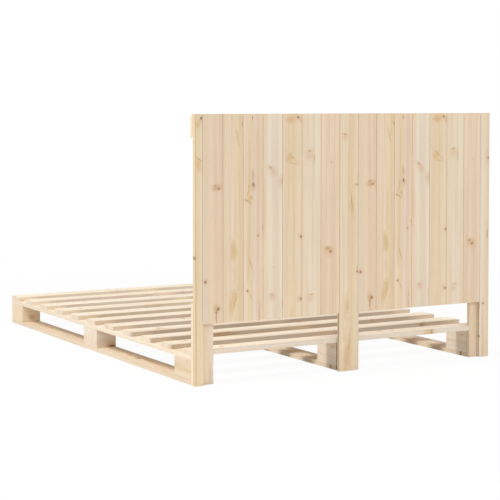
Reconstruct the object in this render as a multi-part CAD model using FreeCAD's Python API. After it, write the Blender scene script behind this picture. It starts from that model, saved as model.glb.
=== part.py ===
"""Low bed frame of raw pine: a pallet-style slatted base and a boarded headboard.

Lengths are in millimetres. +Z is up, +Y points to the headboard and +X is the right-hand side
for someone who stands at the foot. The origin is on the floor, under the middle of the bed.
The headboard has two layers: tongued and grooved upright boards at the back, and rails and
posts in front of them. The outer strips and the centre board run down to the floor as legs.
The base has three rows, each a bottom board, three blocks and a rail, with slats across them.
"""
import os

import FreeCAD
import Part

Vector = FreeCAD.Vector

# Mattress that the bed takes
mattress_width = 1400.0
mattress_length = 1900.0

# Headboard: tongued and grooved upright boards, with rails and posts in front of them
headboard_height = 1030.0
headboard_thickness = 17.0
board_pitch = 88.0
joint_gap = 0.5
tongue_length = 8.0
tongue_thickness = 5.0
tongue_clearance = 0.3
panel_floor_gap = 234.0
least_strip_width = 20.0
boards_offset = 7.0
headboard_rail_width = 90.0
middle_rail_inset = 12.0
post_width = 88.0
post_height = 314.0

# Base
row_width = 90.0
deck_thickness = 18.0
block_length = 140.0
block_height = 78.0
slat_width = 90.0
slat_count = 11

# Eased edges of the planed timber
board_ease = 1.2
joint_ease = 1.8
tongue_ease = 1.0
block_ease = 2.0

# How far a cut runs past a face, and a tongue into its own board
overrun = 3.0

# Countersunk wood screws
screw_clearance = 0.1
screw_recess = 0.4
screw_tip_share = 0.8
deck_screw = {"shank": 4.0, "head": 8.0, "length": 34.0}
block_screw = {"shank": 5.0, "head": 9.5, "length": 50.0}
layer_screw = {"shank": 3.5, "head": 7.0, "length": 30.0}
bracket_screw = {"shank": 3.5, "head": 7.0, "length": 16.0}
screw_edge = 10.0
screw_row_share = 0.55
block_screw_share = 0.5
rail_screw_share = 0.5

# Angle brackets between the base and the headboard
bracket_leg = 40.0
bracket_width = 40.0
bracket_thickness = 2.5
bracket_bend = 4.0
bracket_hole_share = 0.62
bracket_hole_spread_share = 0.5

# Places that follow from the sizes above
front_layer = 2 * headboard_thickness
half_width = mattress_width / 2
half_length = (mattress_length + front_layer) / 2
back_y = half_length
layer_y = back_y - headboard_thickness
front_y = back_y - front_layer
tongue_middle_y = back_y - headboard_thickness / 2
post_inner = half_width - post_width
foot_y = -half_length
block_bottom = deck_thickness
rail_bottom = block_bottom + block_height
slat_bottom = rail_bottom + deck_thickness
slat_top = slat_bottom + deck_thickness
row_centres = {
    "left": row_width / 2 - half_width,
    "centre": 0.0,
    "right": half_width - row_width / 2,
}
block_places = ("foot", "middle", "head")


def box(low, high):
    """A plain block between two opposite corners."""
    return Part.makeBox(high[0] - low[0], high[1] - low[1], high[2] - low[2], Vector(*low))


def board(low, high, grain, ease=board_ease):
    """A planed board with its long edges, those along the grain axis, rounded over."""
    solid = box(low, high)
    along = {"x": Vector(1, 0, 0), "y": Vector(0, 1, 0), "z": Vector(0, 0, 1)}[grain]
    long_edges = [edge for edge in solid.Edges if abs(edge.tangentAt(0).dot(along)) > 0.5]
    return solid.makeFillet(ease, long_edges)


def screw_profile(screw, spare):
    """Half section of a countersunk screw along its axis, grown by the spare on every side."""
    shank = screw["shank"] / 2 + spare
    head = screw["head"] / 2 + spare
    cone = head - shank
    length = screw["length"]
    tip = screw["shank"] * screw_tip_share
    top = screw_recess if spare else 0.0
    return [
        Vector(0, 0, top),
        Vector(head, 0, top),
        Vector(head, 0, 0),
        Vector(shank, 0, -cone),
        Vector(shank, 0, tip - length),
        Vector(0, 0, -length - spare),
    ]


def turned(points):
    """The solid of revolution of a half section about the Z axis."""
    points = [point for i, point in enumerate(points) if i == 0 or point != points[i - 1]]
    face = Part.Face(Part.makePolygon(points + [points[0]]))
    return face.revolve(Vector(0, 0, 0), Vector(0, 0, 1), 360)


class ScrewGroup:
    """Identical screws that share one node, with the holes that they need."""

    def __init__(self, screw):
        self.screw = screw
        self.body = turned(screw_profile(screw, 0.0))
        self.hole = turned(screw_profile(screw, screw_clearance))
        self.places = []

    def drive(self, head_point, direction):
        """Adds a screw that is driven from the surface at head_point along direction."""
        inward = Vector(*direction)
        seat = Vector(*head_point) + inward * screw_recess
        turn = FreeCAD.Rotation(Vector(0, 0, -1), inward)
        self.places.append(FreeCAD.Placement(seat, turn))

    def copies(self, shape):
        result = []
        for place in self.places:
            copy = shape.copy()
            copy.Placement = place
            result.append(copy)
        return result


screw_groups = {
    "slat_screws": ScrewGroup(deck_screw),
    "block_screws": ScrewGroup(block_screw),
    "headboard_screws": ScrewGroup(layer_screw),
    "bracket_screws": ScrewGroup(bracket_screw),
}


def lay_out_headboard():
    """X limits of every upright board, from left to right, with its lower end."""
    side = mattress_width - board_pitch - 2 * least_strip_width
    per_panel = int(side // (2 * board_pitch))
    panel = per_panel * board_pitch
    centre_left = boards_offset - board_pitch / 2
    centre_right = boards_offset + board_pitch / 2
    uprights = {"side_strip_left": (-half_width, centre_left - panel, 0.0)}
    for i in range(per_panel):
        x = centre_left - panel + i * board_pitch
        uprights[f"panel_board_left_{i + 1}"] = (x, x + board_pitch, panel_floor_gap)
    uprights["centre_board"] = (centre_left, centre_right, 0.0)
    for i in range(per_panel):
        x = centre_right + i * board_pitch
        uprights[f"panel_board_right_{i + 1}"] = (x, x + board_pitch, panel_floor_gap)
    uprights["side_strip_right"] = (centre_right + panel, half_width, 0.0)
    return uprights


def make_tongue(shoulder, lower):
    """The tongue that stands out to the left of a board's shoulder, rounded at its tip."""
    half = tongue_thickness / 2
    low = (shoulder - tongue_length, tongue_middle_y - half, lower)
    high = (shoulder + overrun, tongue_middle_y + half, headboard_height)
    tongue = box(low, high)
    upright = [edge for edge in tongue.Edges if abs(edge.tangentAt(0).z) > 0.5]
    tip = [edge for edge in upright if edge.CenterOfMass.x < shoulder]
    return tongue.makeFillet(tongue_ease, tip)


def make_groove(shoulder, lower):
    """The space of the groove that is cut into a board's right-hand shoulder."""
    half = tongue_thickness / 2 + tongue_clearance
    low = (shoulder - tongue_length, tongue_middle_y - half, lower - overrun)
    high = (shoulder + overrun, tongue_middle_y + half, headboard_height + overrun)
    return box(low, high)


def make_uprights(uprights):
    """The back layer: each board's tongue sits in the groove of the next board to the left."""
    made = {}
    for name, (left, right, lower) in uprights.items():
        has_tongue = left > -half_width
        has_groove = right < half_width
        if has_tongue:
            left += joint_gap / 2
        if has_groove:
            right -= joint_gap / 2
        solid = board((left, layer_y, lower), (right, back_y, headboard_height), "z", joint_ease)
        if has_groove:
            solid = solid.cut(make_groove(right, lower))
        if has_tongue:
            solid = solid.fuse(make_tongue(left, lower)).removeSplitter()
        made[name] = solid
    return made


def lay_out_front_layer():
    """Low and high (x, z) corners of the posts and rails in front of the upright boards."""
    rail_reach = half_width - middle_rail_inset
    top_rail_low = headboard_height - headboard_rail_width
    middle = (panel_floor_gap + headboard_height) / 2
    half_rail = headboard_rail_width / 2
    return {
        "corner_post_left": ((-half_width, 0.0), (-post_inner, post_height)),
        "corner_post_right": ((post_inner, 0.0), (half_width, post_height)),
        "headboard_lower_rail": ((-post_inner, panel_floor_gap), (post_inner, post_height)),
        "headboard_middle_rail": ((-rail_reach, middle - half_rail), (rail_reach, middle + half_rail)),
        "headboard_top_rail": ((-half_width, top_rail_low), (half_width, headboard_height)),
    }


def make_front_layer(pieces):
    made = {}
    for name, ((left, low), (right, high)) in pieces.items():
        grain = "z" if "post" in name else "x"
        made[name] = board((left, front_y, low), (right, layer_y, high), grain)
    return made


def screw_layers_together(uprights, pieces):
    """Screws through each post and rail into every upright board that it crosses.

    They keep clear of the groove along a board's right-hand edge.
    """
    group = screw_groups["headboard_screws"]
    for (left, low), (right, high) in pieces.values():
        for board_left, board_right, board_low in uprights.values():
            groove = tongue_length if board_right < half_width else 0.0
            start = max(left, board_left)
            end = min(right, board_right - groove)
            bottom = max(low, board_low)
            if end - start < 2 * screw_edge:
                continue
            middle_x = (start + end) / 2
            middle_z = (bottom + high) / 2
            reach_x = (end - start) / 2 * rail_screw_share
            reach_z = (high - bottom) / 2 * rail_screw_share
            for side in (-1, 1):
                x = middle_x + side * reach_x
                z = middle_z + side * reach_z
                group.drive((x, front_y, z), (0, 1, 0))


def make_rows():
    """Bottom board, blocks and rail of each of the three lengthwise rows.

    All three rows end at the front of the corner posts.
    """
    made = {}
    group = screw_groups["block_screws"]
    middle_y = (front_y + foot_y) / 2
    starts = (foot_y, middle_y - block_length / 2, front_y - block_length)
    for side, centre in row_centres.items():
        left = centre - row_width / 2
        right = centre + row_width / 2
        made[f"bottom_board_{side}"] = board((left, foot_y, 0.0), (right, front_y, block_bottom), "y")
        made[f"rail_{side}"] = board((left, foot_y, rail_bottom), (right, front_y, slat_bottom), "y")
        for place, start in zip(block_places, starts):
            low = (left, start, block_bottom)
            high = (right, start + block_length, rail_bottom)
            made[f"block_{side}_{place}"] = board(low, high, "x", block_ease)
            for end in (-1, 1):
                y = start + block_length / 2 * (1 + end * block_screw_share)
                group.drive((centre, y, slat_bottom), (0, 0, -1))
                group.drive((centre, y, 0.0), (0, 0, 1))
    return made


def make_slats():
    """Evenly spaced slats; the head slat is notched round the two corner posts."""
    made = {}
    group = screw_groups["slat_screws"]
    first = foot_y + slat_width / 2
    last = layer_y - slat_width / 2
    pitch = (last - first) / (slat_count - 1)
    for i in range(slat_count):
        y = first + i * pitch
        low = (-half_width, y - slat_width / 2, slat_bottom)
        high = (half_width, y + slat_width / 2, slat_top)
        slat = board(low, high, "x")
        if i == slat_count - 1:
            for left in (-half_width, post_inner):
                notch_low = (left, front_y, slat_bottom)
                notch_high = (left + post_width, layer_y, slat_top)
                slat = slat.cut(box(notch_low, notch_high))
        made[f"slat_{i + 1:02d}"] = slat
        for centre in row_centres.values():
            for side in (-1, 1):
                x = centre + side * row_width / 2 * screw_row_share
                group.drive((x, y, slat_top), (0, 0, -1))
    return made


def edge_along_x(solid, y, z):
    """The edge of a solid that runs along X nearest to a place in the YZ plane."""
    along = [edge for edge in solid.Edges if abs(edge.tangentAt(0).x) > 0.5]
    return min(along, key=lambda edge: abs(edge.CenterOfMass.y - y) + abs(edge.CenterOfMass.z - z))


def make_bracket(centre, wall_y):
    """Bent steel angle: one leg on the head slat, the other up the face behind it."""
    left = centre - bracket_width / 2
    right = centre + bracket_width / 2
    corner = (left, wall_y - bracket_leg, slat_top)
    foot = box(corner, (right, wall_y, slat_top + bracket_thickness))
    corner = (left, wall_y - bracket_thickness, slat_top)
    upright = box(corner, (right, wall_y, slat_top + bracket_leg))
    angle = foot.fuse(upright).removeSplitter()
    heel = edge_along_x(angle, wall_y, slat_top)
    angle = angle.makeFillet(bracket_bend, [heel])
    throat = edge_along_x(angle, wall_y - bracket_thickness, slat_top + bracket_thickness)
    angle = angle.makeFillet(bracket_bend - bracket_thickness, [throat])
    group = screw_groups["bracket_screws"]
    reach = bracket_leg * bracket_hole_share
    for side in (-1, 1):
        x = centre + side * bracket_width / 2 * bracket_hole_spread_share
        group.drive((x, wall_y - reach, slat_top + bracket_thickness), (0, 0, -1))
        group.drive((x, wall_y - bracket_thickness, slat_top + reach), (0, 1, 0))
    return angle


def make_brackets():
    return [
        make_bracket(row_centres["left"], front_y),
        make_bracket(row_centres["centre"], layer_y),
        make_bracket(row_centres["right"], front_y),
    ]


def drilled(solid, holes):
    """The solid with every hole that reaches into it."""
    limits = solid.BoundBox
    crossing = [hole for hole in holes if limits.intersect(hole.BoundBox)]
    if not crossing:
        return solid
    return solid.cut(Part.makeCompound(crossing))


def main():
    uprights = lay_out_headboard()
    pieces = lay_out_front_layer()
    nodes = {}
    nodes.update(make_uprights(uprights))
    nodes.update(make_front_layer(pieces))
    nodes.update(make_rows())
    nodes.update(make_slats())
    brackets = make_brackets()
    screw_layers_together(uprights, pieces)

    holes = []
    for group in screw_groups.values():
        holes.extend(group.copies(group.hole))
    nodes = {name: drilled(solid, holes) for name, solid in nodes.items()}
    nodes["angle_brackets"] = Part.makeCompound([drilled(one, holes) for one in brackets])
    for name, group in screw_groups.items():
        nodes[name] = Part.makeCompound(group.copies(group.body))

    os.makedirs("parts", exist_ok=True)
    for name, shape in nodes.items():
        shape.exportStep(f"parts/{name}.step")
    print(f"{len(nodes)} nodes, {sum(len(shape.Solids) for shape in nodes.values())} solids")


main()
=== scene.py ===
"""Studio scene of a low bed frame in raw pine, seen from behind its headboard.

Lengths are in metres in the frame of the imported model, and millimetres where a name or a comment
says so. Each board has its own pine material: growth rings round a pith line, fibres, knots and
end grain, worked out in three dimensions so that they run through the board.
"""

import math
import random

import bpy
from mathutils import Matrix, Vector


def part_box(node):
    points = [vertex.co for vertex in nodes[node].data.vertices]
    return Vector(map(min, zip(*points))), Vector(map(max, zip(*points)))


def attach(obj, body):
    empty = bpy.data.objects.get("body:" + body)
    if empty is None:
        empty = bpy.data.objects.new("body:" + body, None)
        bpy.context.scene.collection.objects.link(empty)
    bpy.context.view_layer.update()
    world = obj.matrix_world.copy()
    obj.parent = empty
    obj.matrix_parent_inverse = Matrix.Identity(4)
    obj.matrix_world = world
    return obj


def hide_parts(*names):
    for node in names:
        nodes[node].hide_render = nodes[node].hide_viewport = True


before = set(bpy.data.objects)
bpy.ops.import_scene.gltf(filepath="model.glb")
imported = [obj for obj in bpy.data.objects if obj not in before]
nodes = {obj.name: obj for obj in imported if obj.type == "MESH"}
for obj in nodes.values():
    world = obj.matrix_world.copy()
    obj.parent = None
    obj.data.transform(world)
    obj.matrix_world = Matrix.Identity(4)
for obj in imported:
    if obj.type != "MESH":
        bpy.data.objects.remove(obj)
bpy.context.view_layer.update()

MM = 0.001

# Distance to a mark of a kind that a board doesn't have
FAR = 99.0

# Length of a headboard board's tongue, in millimetres
TONGUE = 8.0

# Camera: place, heading and tilt in degrees, focal length in pixels of a 500-pixel frame
CAMERA_PLACE = (3.3034, 5.9604, 1.0672)
CAMERA_HEADING = 29.6472
CAMERA_TILT = 2.5
CAMERA_FOCAL_PIXELS = 1500.67
CAMERA_AXIS_ROW = 169.58
FRAME_PIXELS = 500.0
SENSOR_WIDTH = 36.0

CAMERA_CLIP_END = 100.0

# Lamps: place, target, diameter and power in watts
LAMPS = {
    "key": ((3.9, 0.8, 5.6), (0.0, 0.0, 0.2), 2.4, 330.0),
    "fill": ((-2.0, 5.8, 4.3), (0.0, 0.8, 0.5), 2.6, 119.0),
}
WORLD_STRENGTH = 0.46
WHITE = (1.0, 1.0, 1.0, 1.0)

# The floor: its reach to each side, how far it lies below the feet, its own colour, the share of
# white that is seen near the bed, and the distances between which that share rises to 1
FLOOR_REACH = 30.0
FLOOR_DROP = 0.0005
FLOOR_GREY = (0.82, 0.82, 0.82, 1.0)
FLOOR_WHITE_SHARE = 0.94
FLOOR_FADE_START = 1.6
FLOOR_FADE_END = 3.6

# Steel: colour, colour of the patches, and roughness
ZINC = ((0.62, 0.63, 0.64, 1.0), (0.50, 0.51, 0.53, 1.0), 0.38)
YELLOW_ZINC = ((0.72, 0.62, 0.38, 1.0), (0.62, 0.52, 0.34, 1.0), 0.34)

# Screws: corners of a round section, lobes of the recess, how many grid steps to a metre tell
# vertices of a CAD mesh apart, and the share of the length that may belong to the head
SCREW_SIDES = 24
RECESS_LOBES = 6
GRID_PER_METRE = 1e5
HEAD_SHARE = 0.3

# Numbers of the sockets of Blender's colour mix node
MIX_SHARE = 0
MIX_FIRST = 6
MIX_SECOND = 7
MIX_RESULT = 2


def srgb(red, green, blue):
    """A colour given as 0 to 255 display values, as the linear values that shaders use."""
    def linear(value):
        share = value / 255
        return share / 12.92 if share <= 0.04045 else ((share + 0.055) / 1.055) ** 2.4
    return (linear(red), linear(green), linear(blue), 1.0)


# Tints that run along a pine board in broad bands
TINTS = {
    "pale": srgb(242, 230, 212),
    "bright": srgb(244, 231, 207),
    "cream": srgb(241, 228, 206),
    "straw": srgb(241, 222, 194),
    "lilac": srgb(239, 222, 203),
    "peach": srgb(240, 218, 190),
    "rose": srgb(238, 213, 187),
    "honey": srgb(238, 217, 181),
    "dun": srgb(230, 212, 188),
    "tan": srgb(223, 201, 167),
    "painted_shade_drab": srgb(222, 208, 190),
}
STREAK = srgb(236, 222, 204)
LATEWOOD = srgb(196, 154, 108)
BLUSH = srgb(222, 182, 150)
FLAME = srgb(219, 180, 120)
SPIKE = srgb(176, 140, 96)
SMEAR = srgb(192, 150, 104)
KNOT = srgb(156, 116, 76)
KNOT_RIM = srgb(134, 94, 60)
# Darkens arrises: partly wear, partly painted shade of joints and of eased edges
ARRIS_WEAR_AND_SHADE = srgb(206, 190, 172)
END_GRAIN = srgb(218, 204, 186)


class Graph:
    """Short calls for shader nodes. An input is a number, a tuple or another node's output."""

    def __init__(self, tree):
        self.tree = tree

    def add(self, kind, settings=None, inputs=None):
        node = self.tree.nodes.new(kind)
        for name, value in (settings or {}).items():
            setattr(node, name, value)
        for name, value in (inputs or {}).items():
            self.put(node.inputs[name], value)
        return node

    def put(self, socket, value):
        if isinstance(value, bpy.types.NodeSocket):
            self.tree.links.new(value, socket)
        else:
            socket.default_value = value

    def math(self, operation, *values, clamp=False):
        node = self.add("ShaderNodeMath", {"operation": operation, "use_clamp": clamp})
        for i, value in enumerate(values):
            self.put(node.inputs[i], value)
        return node.outputs[0]

    def vector(self, operation, *values):
        node = self.add("ShaderNodeVectorMath", {"operation": operation})
        for i, value in enumerate(values):
            self.put(node.inputs[i], value)
        return node.outputs[0]

    def scale(self, vector, factor):
        node = self.add("ShaderNodeVectorMath", {"operation": "SCALE"}, {0: vector, "Scale": factor})
        return node.outputs[0]

    def length(self, vector):
        node = self.add("ShaderNodeVectorMath", {"operation": "LENGTH"})
        self.put(node.inputs[0], vector)
        return node.outputs["Value"]

    def split(self, vector):
        return self.add("ShaderNodeSeparateXYZ", None, {0: vector}).outputs

    def join(self, x, y, z):
        return self.add("ShaderNodeCombineXYZ", None, {0: x, 1: y, 2: z}).outputs[0]

    def noise(self, place, stretch, seed, detail=2.0, roughness=0.5, colour=False):
        """Noise whose cells per metre along each axis are the stretch; the seed moves it."""
        scaled = self.vector("MULTIPLY", place, stretch)
        moved = self.vector("ADD", scaled, seed)
        inputs = {"Vector": moved, "Scale": 1.0, "Detail": detail, "Roughness": roughness}
        return self.add("ShaderNodeTexNoise", None, inputs).outputs[1 if colour else 0]

    def fade(self, value, start, end, low=0.0, high=1.0):
        """Goes smoothly from low to high as the value goes from start to end."""
        settings = {"interpolation_type": "SMOOTHSTEP"}
        inputs = {"Value": value, "From Min": start, "From Max": end, "To Min": low, "To Max": high}
        return self.add("ShaderNodeMapRange", settings, inputs).outputs[0]

    def mix(self, share, first, second, blend="MIX"):
        node = self.add("ShaderNodeMix", {"data_type": "RGBA", "blend_type": blend})
        self.put(node.inputs[MIX_SHARE], share)
        self.put(node.inputs[MIX_FIRST], first)
        self.put(node.inputs[MIX_SECOND], second)
        return node.outputs[MIX_RESULT]


def new_material(name):
    """An empty material, and the calls for its nodes."""
    material = bpy.data.materials.new(name)
    material.use_nodes = True
    material.node_tree.nodes.clear()
    return material, Graph(material.node_tree)


def assign(piece, material):
    piece.data.materials.clear()
    piece.data.materials.append(material)


def new_object(name, data):
    piece = bpy.data.objects.new(name, data)
    bpy.context.scene.collection.objects.link(piece)
    return piece


# Kinds of marks, each with a socket of its own in the pine group
MARK_KINDS = ("Knot", "Spike", "Smear", "Flame", "Blush")


def make_pine_group():
    """Colour, roughness and height of pine at a place in a board, given as across, depth, along.

    A noise's stretch is in cells per metre. A mark is given as the distance from its middle, which
    is 1 at its edge.
    """
    group = bpy.data.node_groups.new("pine", "ShaderNodeTree")
    sockets = [(name, "Vector") for name in ("Place", "Half", "Seed", "Pith")]
    sockets += [(name, "Float") for name in ("Ring", *MARK_KINDS)]
    sockets += [("Tint", "Color"), ("End", "Float"), ("Saw", "Float")]
    for name, kind in sockets:
        group.interface.new_socket(name=name, in_out="INPUT", socket_type="NodeSocket" + kind)
    for name, kind in (("Color", "Color"), ("Roughness", "Float"), ("Height", "Float")):
        group.interface.new_socket(name=name, in_out="OUTPUT", socket_type="NodeSocket" + kind)
    g = Graph(group)
    given = g.add("NodeGroupInput").outputs
    place, seed = given["Place"], given["Seed"]
    knot, flame = given["Knot"], given["Flame"]

    # Distance from the pith, which leans and wanders along the board, and bulges round knots
    drift = g.noise(place, (9.0, 9.0, 1.6), seed, colour=True)
    drift = g.vector("MULTIPLY", g.vector("SUBTRACT", drift, (0.5, 0.5, 0.5)), (0.016, 0.016, 0.0))
    bent = g.vector("ADD", place, drift)
    across, depth, along = g.split(bent)[:3]
    pith_across, pith_depth, lean = g.split(given["Pith"])[:3]
    leaned = g.math("MULTIPLY_ADD", along, lean, pith_across)
    from_across = g.math("SUBTRACT", across, leaned)
    from_depth = g.math("SUBTRACT", depth, pith_depth)
    radius = g.length(g.join(from_across, from_depth, 0.0))
    swell = g.math("ADD", g.fade(knot, 0.0, 3.2, 0.007, 0.0), g.fade(flame, 0.0, 1.8, 0.006, 0.0))
    radius = g.math("ADD", radius, swell)

    # Growth rings: pale earlywood that darkens to latewood and stops sharply
    uneven = g.noise(g.join(radius, 0.0, 0.0), (85.0, 1.0, 1.0), seed, 1.0)
    phase = g.math("ADD", g.math("DIVIDE", radius, given["Ring"]), uneven)
    turn = g.math("FRACT", phase)
    rise = g.fade(turn, 0.35, 0.9)
    fall = g.fade(turn, 0.93, 1.0, 1.0, 0.0)
    late = g.math("MULTIPLY", rise, fall)
    year = g.noise(g.join(radius, 1.0, 0.0), (210.0, 1.0, 1.0), seed, 1.0)
    late = g.math("MULTIPLY", late, g.fade(year, 0.3, 0.7, 0.35, 1.0))

    # Soft streaks, fibres and resin canals along the grain
    streak = g.fade(g.noise(bent, (52.0, 52.0, 0.8), seed, 3.0, 0.55), 0.36, 0.64)
    patch = g.noise(place, (7.0, 7.0, 3.0), seed)
    fibre = g.noise(place, (1000.0, 1000.0, 30.0), seed, roughness=0.6)
    canal = g.fade(g.noise(place, (620.0, 620.0, 22.0), seed, 1.0), 0.66, 0.76)

    colour = g.mix(g.math("MULTIPLY", streak, 0.3), given["Tint"], STREAK, "MULTIPLY")
    colour = g.mix(g.math("MULTIPLY", late, 0.22), colour, LATEWOOD)
    colour = g.mix(g.math("MULTIPLY", canal, 0.18), colour, LATEWOOD)
    shade = g.fade(fibre, 0.25, 0.75, 0.975, 1.015)
    shade = g.math("ADD", shade, g.fade(patch, 0.3, 0.7, -0.02, 0.02))
    colour = g.scale(colour, shade)

    # Blushes, flames with their fine lines, smears, spikes with their glow, and knots
    colour = g.mix(g.fade(given["Blush"], 0.0, 1.6, 0.5, 0.0), colour, BLUSH)
    lines = g.fade(g.math("SINE", g.math("MULTIPLY", flame, 21.0)), 0.2, 1.0)
    glow = g.fade(flame, 0.3, 1.4, 0.48, 0.0)
    glow = g.math("MULTIPLY_ADD", lines, g.fade(flame, 0.7, 1.6, 0.22, 0.0), glow)
    colour = g.mix(glow, colour, FLAME)
    colour = g.mix(g.fade(given["Smear"], 0.1, 1.4, 0.44, 0.0), colour, SMEAR)
    spike = given["Spike"]
    colour = g.mix(g.fade(spike, 0.8, 3.2, 0.2, 0.0), colour, FLAME)
    colour = g.mix(g.fade(spike, 0.0, 1.3, 0.62, 0.0), colour, SPIKE)
    colour = g.mix(g.fade(knot, 0.9, 3.4, 0.42, 0.0), colour, BLUSH)
    circles = g.math("SINE", g.math("MULTIPLY", knot, 19.0))
    heart = g.mix(g.fade(circles, -1.0, 1.0, 0.0, 0.45), KNOT, SPIKE)
    rim = g.math("MULTIPLY", g.fade(knot, 0.5, 0.9), g.fade(knot, 0.9, 1.2, 1.0, 0.0))
    heart = g.mix(g.math("MULTIPLY", rim, 0.6), heart, KNOT_RIM)
    core = g.fade(knot, 0.7, 1.3, 0.88, 0.0)
    colour = g.mix(core, colour, heart)

    # Arrises are darker, partly as wear and partly as painted shade of the joints and of eased edges that
    # turn away from the light. Of the distances to the three pairs of faces, the middle one is the
    # distance to the nearest arris.
    near = g.split(g.vector("SUBTRACT", given["Half"], g.vector("ABSOLUTE", place)))
    least = g.math("MINIMUM", near[0], near[1])
    most = g.math("MAXIMUM", near[0], near[1])
    to_arris = g.math("MAXIMUM", least, g.math("MINIMUM", most, near[2]))
    arris_unevenness = g.noise(place, (40.0, 40.0, 9.0), g.vector("ADD", seed, (8.0, 1.0, 6.0)))
    arris_unevenness = g.fade(arris_unevenness, 0.3, 0.7, 0.45, 1.0)
    arris = g.math("MULTIPLY", g.fade(to_arris, 0.0006, 0.003, 1.0, 0.0), arris_unevenness)
    colour = g.mix(g.math("MULTIPLY", arris, 0.06), colour, ARRIS_WEAR_AND_SHADE, "MULTIPLY")

    # End grain is darker, and sawn faces carry fine marks across the grain
    end = given["End"]
    colour = g.mix(end, colour, END_GRAIN, "MULTIPLY")
    saw = g.noise(place, (14.0, 14.0, 520.0), seed, 1.0)
    saw = g.math("MULTIPLY", saw, given["Saw"])

    # Latewood and knots are smoother, and end grain is rougher. Heights are in metres.
    rough = g.math("SUBTRACT", g.fade(fibre, 0.2, 0.8, 0.56, 0.68), g.math("MULTIPLY", late, 0.08))
    rough = g.math("SUBTRACT", rough, g.math("MULTIPLY", core, 0.16))
    rough = g.math("ADD", rough, g.math("MULTIPLY", end, 0.12), clamp=True)
    height = g.math("MULTIPLY", fibre, 0.00004)
    height = g.math("MULTIPLY_ADD", late, 0.00005, height)
    height = g.math("MULTIPLY_ADD", canal, -0.00005, height)
    height = g.math("MULTIPLY_ADD", rim, -0.00025, height)
    height = g.math("MULTIPLY_ADD", saw, 0.00012, height)
    out = g.add("NodeGroupOutput")
    g.put(out.inputs["Color"], colour)
    g.put(out.inputs["Roughness"], rough)
    g.put(out.inputs["Height"], height)
    return group


# Axes of the frame that run across, through and along a board: flat along the bed or across it,
# upright, and on edge across the bed or along it
LENGTHWISE = (0, 2, 1)
CROSSWISE = (1, 2, 0)
UPRIGHT = (0, 1, 2)
ON_EDGE = (2, 1, 0)
BESIDE = (2, 0, 1)


def make_pine(node, axes, tints, pith, ring, marks, seed, saw=0.0, tongue=0.0, end_share=0.6):
    """Gives a CAD node its own pine.

    The tints are bands across the board. They start at its +X side, at its side towards the
    headboard or at its top, by the way it lies. The pith is its place across and through the board
    in millimetres, with its lean in millimetres per metre, and the ring is the growth rings' width
    in millimetres. A mark is its kind, its place across and along the board from the middle of its
    face, its half sizes across and along, all in millimetres, and its tilt in degrees. A tongue
    stands out at the -X side. The seed moves the noises. Saw and end_share say how strongly saw
    marks and end grain show.
    """
    low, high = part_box(node)
    low.x += tongue * MM
    middle = (low + high) / 2
    half = (high - low) / 2
    material, g = new_material("pine_" + node)
    source = g.add("ShaderNodeTexCoord").outputs
    local = g.vector("SUBTRACT", source["Object"], tuple(middle))
    parts = g.split(local)
    place = g.join(*(parts[axis] for axis in axes))
    end = g.fade(g.math("ABSOLUTE", g.split(source["Normal"])[axes[2]]), 0.6, 0.95, 0.0, end_share)

    # Bands of tints, whose borders sway
    sway = g.fade(g.noise(place, (9.0, 9.0, 1.6), (0.0, seed, 0.0), 1.0), 0.3, 0.7, -0.09, 0.09)
    share = g.math("DIVIDE", g.split(place)[0], -2 * half[axes[0]])
    share = g.math("ADD", g.math("ADD", share, sway), 0.5)
    ramp = g.add("ShaderNodeValToRGB", None, {0: share})
    ramp.color_ramp.interpolation = "EASE"
    stops = ramp.color_ramp.elements
    while len(stops) < len(tints):
        stops.new(1.0)
    for i, tint in enumerate(tints):
        stops[i].position = (i + 0.5) / len(tints)
        stops[i].color = TINTS[tint]

    # Distance to the nearest mark of each kind, with rippled outlines
    fields = {}
    ripple = g.noise(place, (80.0, 80.0, 45.0), (seed, 0.0, 0.0), 3.0, 0.6, colour=True)
    ripple = g.vector("MULTIPLY", g.vector("SUBTRACT", ripple, (0.5, 0.5, 0.5)), (0.010, 0.0, 0.013))
    rippled = g.vector("ADD", place, ripple)
    for kind, across, along, half_across, half_along, tilt in marks:
        settings = {"vector_type": "TEXTURE"}
        inputs = {
            "Vector": rippled,
            "Location": (across * MM, 0.0, along * MM),
            "Rotation": (0.0, math.radians(tilt), 0.0),
            "Scale": (half_across * MM, 1.0, half_along * MM),
        }
        distance = g.length(g.add("ShaderNodeMapping", settings, inputs).outputs[0])
        known = fields.get(kind)
        fields[kind] = distance if known is None else g.math("MINIMUM", known, distance)

    inputs = {
        "Place": place,
        "Half": tuple(half[axis] for axis in axes),
        "Seed": (seed * 3.1, seed * 1.7, seed * 2.3),
        "Pith": (pith[0] * MM, pith[1] * MM, pith[2] * MM),
        "Ring": ring * MM,
        "Tint": ramp.outputs[0],
        "End": end,
        "Saw": saw,
    }
    for name in MARK_KINDS:
        inputs[name] = fields.get(name.lower(), FAR)
    pine = g.add("ShaderNodeGroup", {"node_tree": pine_group})
    for name, value in inputs.items():
        g.put(pine.inputs[name], value)
    relief = {"Height": pine.outputs["Height"], "Strength": 0.7, "Distance": 1.0}
    bump = g.add("ShaderNodeBump", None, relief)
    shader = g.add("ShaderNodeBsdfPrincipled", None, {
        "Base Color": pine.outputs["Color"],
        "Roughness": pine.outputs["Roughness"],
        "Normal": bump.outputs["Normal"],
        "IOR": 1.45,
        "Specular IOR Level": 0.4,
    })
    g.add("ShaderNodeOutputMaterial", None, {"Surface": shader.outputs[0]})
    assign(nodes[node], material)


pine_group = make_pine_group()

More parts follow.
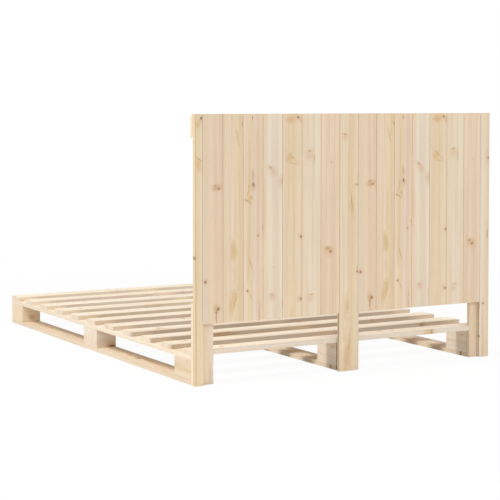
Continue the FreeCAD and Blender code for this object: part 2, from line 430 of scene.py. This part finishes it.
# Marks on the seven boards of each headboard panel, from the photo's left, and on the others.
# Places along are heights above the floor, in millimetres.
PANEL_MARKS = {
    1: [
        ("smear", -17, 751, 26, 13, 16), ("spike", -10, 759, 7.5, 3.6, 10), ("knot", -26, 747, 4.2, 4.0, 0),
        ("flame", -14, 745, 11, 8, 0), ("blush", -38, 749, 10, 18, 0), ("knot", 32, 395, 5.2, 5.2, 0),
        ("blush", 30, 396, 12, 10, 0), ("smear", -14, 290, 13, 20, 0), ("knot", -22, 287, 6.8, 6.4, 0),
        ("knot", -14, 276, 2.8, 4.5, 0), ("knot", -15, 258, 1.0, 26, 4),
    ],
    2: [
        ("spike", -40, 991, 4, 10, 0), ("flame", -20, 936, 4, 38, 12), ("flame", -4, 508, 13, 46, 2),
        ("flame", 3, 310, 14, 52, -12), ("spike", -10, 318, 1.6, 34, -14),
    ],
    3: [
        ("knot", 3, 1014, 1.6, 8, 0), ("smear", 0, 796, 9, 22, 0), ("knot", -1, 758, 4.8, 9, 0),
        ("blush", -1, 750, 13, 20, 0), ("spike", 30, 698, 14, 3.8, -10), ("spike", 15, 690, 9, 2.6, -48),
        ("spike", 22, 733, 1.8, 26, -14), ("spike", 17, 752, 3, 8, 0), ("flame", 12, 708, 10, 12, 0),
        ("spike", -42, 591, 3, 12, 0), ("spike", -22, 561, 4.6, 4.6, 0), ("smear", -22, 562, 7, 7, 0),
        ("spike", 12, 457, 1.6, 34, 20), ("knot", 26, 350, 3.8, 4.2, 0), ("spike", 11, 328, 1.6, 18, 24),
        ("spike", -27, 268, 2.6, 42, 0),
    ],
    4: [
        ("spike", 11, 823, 12, 4, -34), ("blush", 3, 810, 20, 14, -34), ("blush", -2, 801, 19, 15, 0),
        ("blush", -34, 768, 12, 26, 0), ("spike", -43, 765, 2.5, 24, 0), ("blush", 38, 650, 7, 120, 0),
        ("blush", -1, 435, 5, 5, 0), ("smear", 4, 328, 9, 6, -30), ("blush", 2, 320, 17, 18, -30),
        ("spike", -42, 290, 2.5, 18, 0),
    ],
    5: [
        ("flame", 10, 1006, 20, 12, 0), ("blush", -4, 1012, 30, 18, 0), ("knot", -25, 1016, 5.5, 5, 0),
        ("smear", -40, 1004, 7, 15, 12), ("spike", 0, 862, 26, 2.2, -40), ("spike", -6, 836, 20, 1.6, -14),
        ("flame", 12, 856, 17, 19, -30), ("knot", -41, 549, 4.2, 4.2, 0), ("blush", -38, 552, 12, 14, 0),
        ("knot", -40, 305, 4.6, 4.2, 0), ("blush", -32, 306, 16, 12, 0),
    ],
    6: [
        ("spike", 10, 882, 11, 4, 8), ("blush", 8, 864, 19, 17, 0), ("spike", -12, 852, 2, 20, 0),
        ("spike", 0, 318, 9, 3, 0), ("blush", 7, 302, 14, 16, 0),
    ],
    7: [
        ("smear", 9, 494, 22, 13, -20), ("spike", 13, 498, 9, 4, 0), ("knot", -2, 484, 4.6, 4.2, 0),
        ("blush", 2, 482, 24, 22, 0), ("spike", -4, 838, 3, 4, 0),
    ],
}
UPRIGHT_MARKS = {
    "centre_board": [
        ("spike", 20, 948, 11, 3.5, 0), ("blush", 19, 934, 15, 15, 0), ("smear", -36, 747, 12, 6, 0),
        ("spike", -41, 745, 8, 4, 0), ("spike", -42, 768, 1.6, 24, 0), ("spike", -12, 684, 2, 30, 12),
        ("spike", -4, 662, 1.6, 16, 10), ("flame", -14, 668, 6, 46, 4), ("smear", -44, 412, 10, 14, 0),
        ("knot", -41, 398, 4.2, 4.2, 0), ("flame", 7, 262, 10, 44, -4), ("flame", 9, 66, 17, 84, -5),
        ("spike", -2, 100, 1.6, 44, -8),
    ],
    "side_strip_right": [
        ("knot", -12, 1014, 4.6, 6, 0), ("blush", -6, 1002, 12, 14, 0), ("flame", 4, 988, 10, 9, 0),
        ("spike", -2, 860, 18, 2.6, -34), ("flame", 0, 842, 13, 15, 0), ("blush", -2, 822, 13, 12, 0),
        ("knot", 16, 488, 2.2, 5, 0),
    ],
    "side_strip_left": [
        ("knot", -17, 842, 3.6, 5, 0), ("blush", -12, 848, 12, 34, 0), ("spike", -14, 520, 4, 24, 0),
        ("knot", 6, 228, 3.4, 3.6, 0), ("blush", 8, 90, 7, 150, 0), ("knot", 24, 88, 1.3, 3.5, 0),
    ],
}
PANEL_TINTS = {
    1: ("lilac", "straw", "straw", "peach", "rose", "peach", "rose"),
    2: ("peach", "straw", "peach", "straw", "honey", "honey", "rose"),
    3: ("straw", "honey", "peach", "lilac", "rose", "peach"),
    4: ("peach", "cream", "cream", "lilac", "cream", "cream"),
    5: ("straw", "peach", "honey", "honey", "straw", "straw"),
    6: ("straw", "straw", "cream", "straw", "cream", "straw"),
    7: ("peach", "rose", "peach", "rose", "peach"),
}
UPRIGHT_TINTS = {
    "centre_board": ("straw", "straw", "peach", "honey", "straw"),
    # The darker first tint of side_strip_right dims its lit +X side face: painted shade
    "side_strip_right": ("tan", "honey", "honey", "honey", "straw"),
    "side_strip_left": ("cream", "straw", "peach"),
}

# Marks on the back edges of three slats, by number, and on the blocks, by place
SLAT_MARKS = {
    9: [("smear", 45, 370, 16, 70, 0), ("blush", 45, 392, 16, 44, 0)],
    10: [("spike", 45, -500, 6, 16, 0)],
    11: [("spike", 45, -416, 6, 9, 0), ("flame", 45, -400, 10, 30, 0)],
}
BLOCK_MARKS = {
    "foot": [("smear", -20, 0, 14, 20, 0)],
    "middle": [("smear", -40, -26, 22, 30, 0), ("knot", -38, -28, 8, 15, 0)],
    "head": [("spike", 31, 35, 4, 5, 0), ("blush", 34, 52, 5, 16, 0)],
}

# Pith of the panel boards and of the others
PANEL_PITHS = {
    1: (-70, 30, 3), 2: (-8, 52, -6), 3: (26, 60, 5), 4: (95, 24, 2), 5: (6, 46, 7), 6: (-88, 18, -2),
    7: (-40, 55, 4),
}
UPRIGHT_PITHS = {
    "centre_board": (14, 50, -5), "side_strip_right": (-30, 44, 3), "side_strip_left": (60, 28, 2),
}

# Tints, pith and marks of the posts, and tints and pith of the headboard's rails
POSTS = {
    "left": (("peach", "straw", "peach"), (64, 26, 3), []),
    "right": (
        ("straw", "straw", "straw", "lilac"), (44, 26, 3),
        [("blush", -30, -110, 6, 40, 0), ("smear", 4, 92, 8, 14, 0)],
    ),
}
HEADBOARD_RAILS = {
    "top": (("cream", "straw"), (-12, 48, 4)),
    "middle": (("peach", "straw"), (8, 48, 4)),
    "lower": (("cream", "straw"), (28, 48, 4)),
}

# Tints of the base. The slats take theirs in turn, and three slats near the headboard have a duller
# first tint on their backs, which is painted shade from the headboard.
SLAT_COUNT = 11
SLAT_TINTS = (
    ("cream", "pale", "bright", "pale"), ("lilac", "pale", "bright", "cream"),
    ("pale", "bright", "lilac", "pale"), ("cream", "lilac", "pale", "bright"),
)
SLATS_WITH_PAINTED_SHADE = (8, 9, 10)
ROW_TINTS = {"bottom_board": ("dun", "straw", "lilac"), "rail": ("cream", "pale", "lilac")}
BLOCK_TINTS = {
    "foot": ("straw", "straw"), "middle": ("pale", "lilac"), "head": ("pale", "lilac", "pale"),
}
RIGHT_HEAD_BLOCK_TINTS = ("dun", "tan", "dun")

# A knot on the back ends of two bottom boards
BOTTOM_BOARD_KNOT = ("knot", 45, 912, 3.6, 4.6, 0)

# Widths of growth rings, in millimetres. A slat's is drawn between two limits.
RINGS = {"panel": 5.6, "upright": 5.2, "post": 5.0, "headboard_rail": 5.6, "row": 5.4, "block": 5.8}
SLAT_RINGS = (4.6, 6.4)

# How strongly end grain shows on boards whose ends are seen
END_SHARES = {"headboard_rail": 0.3, "slat": 0.2, "row": 0.3, "block": 0.1}

# Seeds by kind of board, as the start and the steps, and what each panel's have more. The rails'
# spread marks and the base's draws have a seed each.
SEEDS = {
    "panel": (0.0, 1.3), "upright": (11.0, 1.9), "post": (21.0, 2.7), "headboard_rail": (25.0, 3.3),
    "slat": (31.0, 2.1), "row": (61.0, 3.7, 1.9), "block": (81.0, 4.3, 1.7),
}
PANEL_SEED_SHIFTS = {"left": 0.0, "right": 0.0175}
RAIL_DRAWS_SEED = 41
BASE_DRAWS_SEED = 7

# Spread marks: the half width and half length that they cover, in millimetres, and their number
SPREADS = {"headboard_rail": (36, 640, 9), "slat": (38, 660, 6), "row": (38, 900, 8)}


def pick_seed(kind, *counts):
    """The seed of one board of a kind, from how many boards come before it."""
    seed, *steps = SEEDS[kind]
    for step, count in zip(steps, counts):
        seed += step * count
    return seed


def spread_marks(chance, board_kind):
    """Knots and streaks for a board that the photo doesn't show well."""
    half_width, half_length, count = SPREADS[board_kind]
    marks = []
    for _ in range(count):
        size = chance.uniform(3.0, 8.0)
        across = chance.uniform(-half_width, half_width)
        along = chance.uniform(-half_length, half_length)
        kind = chance.choice(("knot", "knot", "spike", "flame"))
        if kind == "knot":
            marks.append((kind, across, along, size, size * chance.uniform(1.0, 1.5), 0))
        elif kind == "spike":
            marks.append((kind, across, along, size * 2, size * 0.7, chance.uniform(-35, 35)))
        else:
            marks.append((kind, across, along, size * 1.6, size * 8, chance.uniform(-4, 4)))
    return marks


def from_middle(node, marks):
    """The marks with their heights above the floor changed to heights above the board's middle."""
    low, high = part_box(node)
    middle = (low.z + high.z) / 2 / MM
    return [(kind, across, height - middle, *rest) for kind, across, height, *rest in marks]


def paint_headboard():
    """Pine for the upright boards, posts and rails of the headboard.

    Nodes of panel boards are numbered from the -X side, which is the photo's right.
    """
    for side, shift in PANEL_SEED_SHIFTS.items():
        for i, marks in PANEL_MARKS.items():
            node = f"panel_board_{side}_{len(PANEL_MARKS) + 1 - i}"
            moved = from_middle(node, marks)
            seed = pick_seed("panel", i) + shift
            tints, pith = PANEL_TINTS[i], PANEL_PITHS[i]
            make_pine(node, UPRIGHT, tints, pith, RINGS["panel"], moved, seed, tongue=TONGUE)
    for i, (node, marks) in enumerate(UPRIGHT_MARKS.items()):
        moved = from_middle(node, marks)
        seed = pick_seed("upright", i)
        tongue = 0.0 if node == "side_strip_left" else TONGUE
        tints, pith = UPRIGHT_TINTS[node], UPRIGHT_PITHS[node]
        make_pine(node, UPRIGHT, tints, pith, RINGS["upright"], moved, seed, tongue=tongue)
    for i, (side, (tints, pith, marks)) in enumerate(POSTS.items()):
        seed = pick_seed("post", i)
        make_pine(f"corner_post_{side}", UPRIGHT, tints, pith, RINGS["post"], marks, seed)
    chance = random.Random(RAIL_DRAWS_SEED)
    ring, end_share = RINGS["headboard_rail"], END_SHARES["headboard_rail"]
    for i, (place, (tints, pith)) in enumerate(HEADBOARD_RAILS.items()):
        node = f"headboard_{place}_rail"
        marks = spread_marks(chance, "headboard_rail")
        seed = pick_seed("headboard_rail", i)
        make_pine(node, ON_EDGE, tints, pith, ring, marks, seed, end_share=end_share)


def paint_slats(chance):
    end_share = END_SHARES["slat"]
    for i in range(SLAT_COUNT):
        number = i + 1
        marks = spread_marks(chance, "slat") + SLAT_MARKS.get(number, [])
        side = chance.choice((-1, 1))
        pith = (chance.uniform(-60, 60), side * chance.uniform(25, 55), chance.uniform(-6, 6))
        ring = chance.uniform(*SLAT_RINGS)
        seed = pick_seed("slat", i)
        tints = SLAT_TINTS[i % len(SLAT_TINTS)]
        # A duller first tint on these slats' backs is painted shade from the headboard
        if number in SLATS_WITH_PAINTED_SHADE:
            tints = ("painted_shade_drab",) + tints[1:]
        make_pine(f"slat_{number:02d}", CROSSWISE, tints, pith, ring, marks, seed, end_share=end_share)


def paint_row(chance, i, side):
    """Pine for one row's bottom board, rail and blocks."""
    ring, end_share = RINGS["row"], END_SHARES["row"]
    for j, kind in enumerate(("bottom_board", "rail")):
        node = f"{kind}_{side}"
        marks = spread_marks(chance, "row")
        if kind == "bottom_board" and side != "right":
            marks.append(BOTTOM_BOARD_KNOT)
        pith = (chance.uniform(-50, 50), -40, chance.uniform(-5, 5))
        seed = pick_seed("row", i, j)
        make_pine(node, LENGTHWISE, ROW_TINTS[kind], pith, ring, marks, seed, end_share=end_share)
    ring, end_share = RINGS["block"], END_SHARES["block"]
    for j, (place, marks) in enumerate(BLOCK_MARKS.items()):
        node = f"block_{side}_{place}"
        tints = RIGHT_HEAD_BLOCK_TINTS if node == "block_right_head" else BLOCK_TINTS[place]
        pith = (chance.uniform(-34, 34), chance.uniform(-22, 22), chance.uniform(-30, 30))
        seed = pick_seed("block", i, j)
        axes = BESIDE if place == "head" else ON_EDGE
        make_pine(node, axes, tints, pith, ring, marks, seed, saw=1.0, end_share=end_share)


def paint_base():
    chance = random.Random(BASE_DRAWS_SEED)
    paint_slats(chance)
    for i, side in enumerate(("left", "centre", "right")):
        paint_row(chance, i, side)


def make_steel(name, colour, patch_colour, roughness):
    """Zinc-plated steel with soft patches and fine scratches."""
    material, g = new_material(name)
    place = g.add("ShaderNodeTexCoord").outputs["Object"]
    patches = g.fade(g.noise(place, (260.0, 260.0, 260.0), (1.0, 2.0, 3.0), 3.0), 0.38, 0.62)
    scratches = g.noise(place, (2600.0, 300.0, 900.0), (4.0, 5.0, 6.0))
    rough = g.fade(patches, 0.0, 1.0, roughness - 0.05, roughness + 0.06)
    rough = g.math("ADD", rough, g.fade(scratches, 0.3, 0.7, -0.04, 0.04))
    height = g.math("MULTIPLY", scratches, 0.00002)
    bump = g.add("ShaderNodeBump", None, {"Height": height, "Strength": 0.5, "Distance": 1.0})
    shader = g.add("ShaderNodeBsdfPrincipled", None, {
        "Base Color": g.mix(patches, colour, patch_colour),
        "Roughness": rough,
        "Normal": bump.outputs["Normal"],
        "Metallic": 1.0,
    })
    g.add("ShaderNodeOutputMaterial", None, {"Surface": shader.outputs[0]})
    return material


def find_screws(node):
    """Head centre, inward direction, head radius, shank radius and length of each screw.

    A node's mesh holds many screws, so its vertices are first grouped by the faces that join them.
    """
    mesh = nodes[node].data
    keys = [tuple(round(value * GRID_PER_METRE) for value in vertex.co) for vertex in mesh.vertices]
    parent = {key: key for key in keys}

    def root(key):
        while parent[key] != key:
            parent[key] = parent[parent[key]]
            key = parent[key]
        return key

    for polygon in mesh.polygons:
        first = root(keys[polygon.vertices[0]])
        for i in polygon.vertices:
            parent[root(keys[i])] = first
    groups = {}
    for key, vertex in zip(keys, mesh.vertices):
        groups.setdefault(root(key), []).append(vertex.co)
    screws = []
    for points in groups.values():
        low = Vector([min(point[i] for point in points) for i in range(3)])
        high = Vector([max(point[i] for point in points) for i in range(3)])
        middle = (low + high) / 2
        axis = max(range(3), key=lambda i: high[i] - low[i])

        def reach(point):
            offset = point - middle
            offset[axis] = 0.0
            return offset.length

        widest = max(points, key=reach)
        head_high = widest[axis] > middle[axis]
        head = middle.copy()
        head[axis] = high[axis] if head_high else low[axis]
        inward = Vector((0.0, 0.0, 0.0))
        inward[axis] = -1.0 if head_high else 1.0
        length = high[axis] - low[axis]
        shank = [point for point in points if abs(point[axis] - head[axis]) > length * HEAD_SHARE]
        screws.append((head, inward, reach(widest), max(map(reach, shank)), length))
    return screws


def make_screws(node, material):
    """Countersunk screws with a lobed recess, in place of the plain ones."""
    vertices, faces = [], []
    for head, inward, head_radius, shank, length in find_screws(node):
        star = head_radius * 0.45
        cone = head_radius - shank

        # From the recess's floor to the tip: radius, rise above the head's plane, and lobes' share
        rings = [
            (star * 0.9, -head_radius * 0.62, 0.13),
            (star, -head_radius * 0.05, 0.13),
            (star * 1.06, 0.0, 0.12),
            (head_radius * 0.93, 0.0, 0.0),
            (head_radius, -head_radius * 0.04, 0.0),
            (shank, -cone, 0.0),
            (shank, shank * 1.6 - length, 0.0),
        ]
        turn = Vector((0.0, 0.0, -1.0)).rotation_difference(inward)
        spin = (head.x * 91.0 + head.y * 57.0 + head.z * 33.0) % math.tau
        start = len(vertices)
        for radius, rise, lobes in rings:
            for i in range(SCREW_SIDES):
                angle = math.tau * i / SCREW_SIDES
                grown = radius * (1 + lobes * math.cos(RECESS_LOBES * angle))
                point = Vector((grown * math.cos(angle + spin), grown * math.sin(angle + spin), rise))
                vertices.append(head + turn @ point)
        bottom, tip = len(vertices), len(vertices) + 1
        vertices.append(head + turn @ Vector((0.0, 0.0, -head_radius * 0.75)))
        vertices.append(head + turn @ Vector((0.0, 0.0, -length)))
        last = start + (len(rings) - 1) * SCREW_SIDES
        for i in range(SCREW_SIDES):
            j = (i + 1) % SCREW_SIDES
            faces.append((bottom, start + i, start + j))
            for low in range(start, last, SCREW_SIDES):
                high = low + SCREW_SIDES
                faces.append((low + i, high + i, high + j, low + j))
            faces.append((last + i, tip, last + j))
    mesh = bpy.data.meshes.new(node + "_detailed")
    mesh.from_pydata(vertices, [], faces)
    mesh.update()
    piece = new_object(node + "_detailed", mesh)
    assign(piece, material)
    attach(piece, "root")
    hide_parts(node)


def make_camera():
    heading = math.radians(CAMERA_HEADING)
    tilt = math.radians(CAMERA_TILT)
    forward = Vector((
        -math.sin(heading) * math.cos(tilt),
        -math.cos(heading) * math.cos(tilt),
        -math.sin(tilt),
    ))
    data = bpy.data.cameras.new("camera")
    data.sensor_width = SENSOR_WIDTH
    data.lens = CAMERA_FOCAL_PIXELS * SENSOR_WIDTH / FRAME_PIXELS
    data.shift_y = (CAMERA_AXIS_ROW - FRAME_PIXELS / 2) / FRAME_PIXELS
    data.clip_end = CAMERA_CLIP_END
    camera = new_object("camera", data)
    camera.location = CAMERA_PLACE
    camera.rotation_euler = forward.to_track_quat("-Z", "Y").to_euler()
    bpy.context.scene.camera = camera


def make_lamp(name, place, target, size, power):
    data = bpy.data.lights.new(name, "AREA")
    data.shape = "DISK"
    data.size = size
    data.energy = power
    lamp = new_object(name, data)
    lamp.location = place
    lamp.rotation_euler = (Vector(target) - Vector(place)).to_track_quat("-Z", "Y").to_euler()


def seen_directly(g):
    """1 for rays that show the background itself or its reflection, and 0 for rays that light."""
    path = g.add("ShaderNodeLightPath").outputs
    seen = g.math("MAXIMUM", path["Is Camera Ray"], path["Is Glossy Ray"])
    return g.math("MAXIMUM", seen, path["Is Transmission Ray"])


def make_world():
    world = bpy.data.worlds.new("studio")
    bpy.context.scene.world = world
    world.use_nodes = True
    world.node_tree.nodes.clear()
    g = Graph(world.node_tree)
    soft = g.add("ShaderNodeBackground", None, {"Color": WHITE, "Strength": WORLD_STRENGTH})
    white = g.add("ShaderNodeBackground", None, {"Color": WHITE, "Strength": 1.0})
    share = seen_directly(g)
    shown = g.add("ShaderNodeMixShader", None, {0: share, 1: soft.outputs[0], 2: white.outputs[0]})
    g.add("ShaderNodeOutputWorld", None, {"Surface": shown.outputs[0]})


def make_floor():
    """A floor that fades into the white background, with soft shadows near the bed."""
    mesh = bpy.data.meshes.new("floor")
    signs = ((-1, -1), (1, -1), (1, 1), (-1, 1))
    corners = [(x * FLOOR_REACH, y * FLOOR_REACH, 0.0) for x, y in signs]
    mesh.from_pydata(corners, [], [(0, 1, 2, 3)])
    floor = new_object("floor", mesh)
    floor.location.z = -FLOOR_DROP
    material, g = new_material("pale_floor")
    plain = g.add("ShaderNodeBsdfDiffuse", None, {"Color": FLOOR_GREY})
    white = g.add("ShaderNodeEmission", None, {"Color": WHITE, "Strength": 1.0})
    away = g.length(g.add("ShaderNodeTexCoord").outputs["Object"])
    whiteness = g.fade(away, FLOOR_FADE_START, FLOOR_FADE_END, FLOOR_WHITE_SHARE, 1.0)
    share = g.math("MULTIPLY", seen_directly(g), whiteness)
    shown = g.add("ShaderNodeMixShader", None, {0: share, 1: plain.outputs[0], 2: white.outputs[0]})
    g.add("ShaderNodeOutputMaterial", None, {"Surface": shown.outputs[0]})
    assign(floor, material)


make_camera()
make_world()
make_floor()
for name, (place, target, size, power) in LAMPS.items():
    make_lamp(name, place, target, size, power)

paint_headboard()
paint_base()
assign(nodes["angle_brackets"], make_steel("zinc", *ZINC))
screw_material = make_steel("yellow_zinc", *YELLOW_ZINC)
for screw_node in ("slat_screws", "block_screws", "headboard_screws", "bracket_screws"):
    make_screws(screw_node, screw_material)

view = bpy.context.scene.view_settings
view.view_transform = "Standard"
